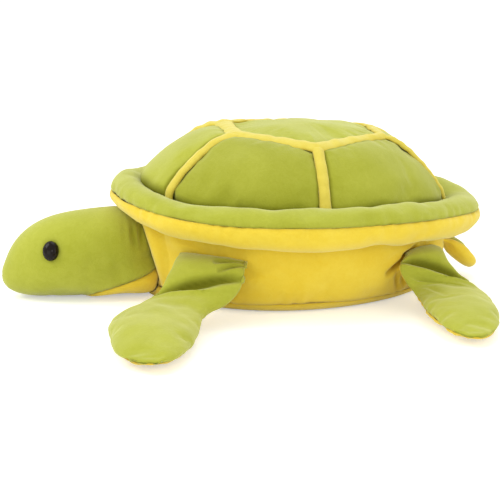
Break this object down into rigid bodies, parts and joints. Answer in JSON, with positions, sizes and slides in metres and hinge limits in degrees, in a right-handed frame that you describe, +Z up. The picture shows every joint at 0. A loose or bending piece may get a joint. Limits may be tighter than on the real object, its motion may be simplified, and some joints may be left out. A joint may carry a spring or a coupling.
{
  "type": "plush turtle",
  "caption": "Stuffed plush sea turtle with a panelled domed shell on a padded rim, egg-shaped head, paddle flippers and a short tail.",
  "frame": {"origin": "middle of the flat underside, on the surface that the turtle lies on", "axes": "+Z up from the belly, -X towards the nose, -Y towards the turtle's left side"},
  "size_m": [0.4745, 0.5128, 0.161],
  "materials": {
    "green_plush": "short-pile plush, matt with a soft sheen",
    "yellow_plush": "short-pile plush, matt with a soft sheen",
    "yellow_ribbon": "folded strips of plush sewn over the seams",
    "fibre_filling": "loose white fibre",
    "black_eye": "polished",
    "washer_plastic": "moulded"
  },
  "bodies": {
    "torso": {"belly_panel": "yellow_plush", "body_side_band": "yellow_plush", "torso_stuffing": "fibre_filling", "rim_top_cover": "green_plush", "rim_lower_cover": "yellow_plush", "rim_stuffing": "fibre_filling", "shell_top_panel": "green_plush", "shell_border_ribbon": "yellow_ribbon", "shell_panel_left_front": "green_plush", "shell_panel_left_rear": "green_plush", "shell_panel_rear": "green_plush", "shell_panel_right_rear": "green_plush", "shell_panel_right_front": "green_plush", "shell_panel_front": "green_plush", "shell_ribbon_left_front": "yellow_ribbon", "shell_ribbon_left_side": "yellow_ribbon", "shell_ribbon_left_rear": "yellow_ribbon", "shell_ribbon_right_rear": "yellow_ribbon", "shell_ribbon_right_side": "yellow_ribbon", "shell_ribbon_right_front": "yellow_ribbon"},
    "head": {"head_cover": "green_plush", "throat_panel": "yellow_plush", "head_stuffing": "fibre_filling", "eye_left": "black_eye", "eye_washer_left": "washer_plastic", "eye_right": "black_eye", "eye_washer_right": "washer_plastic"},
    "front_flipper_left": {"front_flipper_top_left": "green_plush", "front_flipper_underside_left": "yellow_plush", "front_flipper_stuffing_left": "fibre_filling"},
    "front_flipper_right": {"front_flipper_top_right": "green_plush", "front_flipper_underside_right": "yellow_plush", "front_flipper_stuffing_right": "fibre_filling"},
    "rear_flipper_left": {"rear_flipper_top_left": "green_plush", "rear_flipper_underside_left": "yellow_plush", "rear_flipper_stuffing_left": "fibre_filling"},
    "rear_flipper_right": {"rear_flipper_top_right": "green_plush", "rear_flipper_underside_right": "yellow_plush", "rear_flipper_stuffing_right": "fibre_filling"},
    "tail": {"tail_top": "green_plush", "tail_underside": "yellow_plush", "tail_stuffing": "fibre_filling"}
  },
  "joints": [
    {"name": "head_nod", "type": "hinge", "parent": "torso", "child": "head", "pos_m": [-0.182, 0, 0.0431], "axis": [0, 1, 0], "range_deg": [-8, 18], "stiffness_Nm_per_rad": 0.15},
    {"name": "front_flipper_left_lift", "type": "hinge", "parent": "torso", "child": "front_flipper_left", "pos_m": [-0.10308, -0.09719, 0.053], "axis": [-0.815, 0.5794, 0], "range_deg": [-15, 35], "stiffness_Nm_per_rad": 0.06},
    {"name": "front_flipper_right_lift", "type": "hinge", "parent": "torso", "child": "front_flipper_right", "pos_m": [-0.10308, 0.09719, 0.053], "axis": [0.815, 0.5794, 0], "range_deg": [-15, 35], "stiffness_Nm_per_rad": 0.06},
    {"name": "rear_flipper_left_lift", "type": "hinge", "parent": "torso", "child": "rear_flipper_left", "pos_m": [0.11024, -0.08115, 0.048], "axis": [-0.7733, -0.634, 0], "range_deg": [-15, 30], "stiffness_Nm_per_rad": 0.05},
    {"name": "rear_flipper_right_lift", "type": "hinge", "parent": "torso", "child": "rear_flipper_right", "pos_m": [0.11024, 0.08115, 0.048], "axis": [0.7733, -0.634, 0], "range_deg": [-15, 30], "stiffness_Nm_per_rad": 0.05},
    {"name": "tail_lift", "type": "hinge", "parent": "torso", "child": "tail", "pos_m": [0.1542, 0, 0.041], "axis": [0, -1, 0], "range_deg": [-10, 35], "stiffness_Nm_per_rad": 0.01}
  ]
}
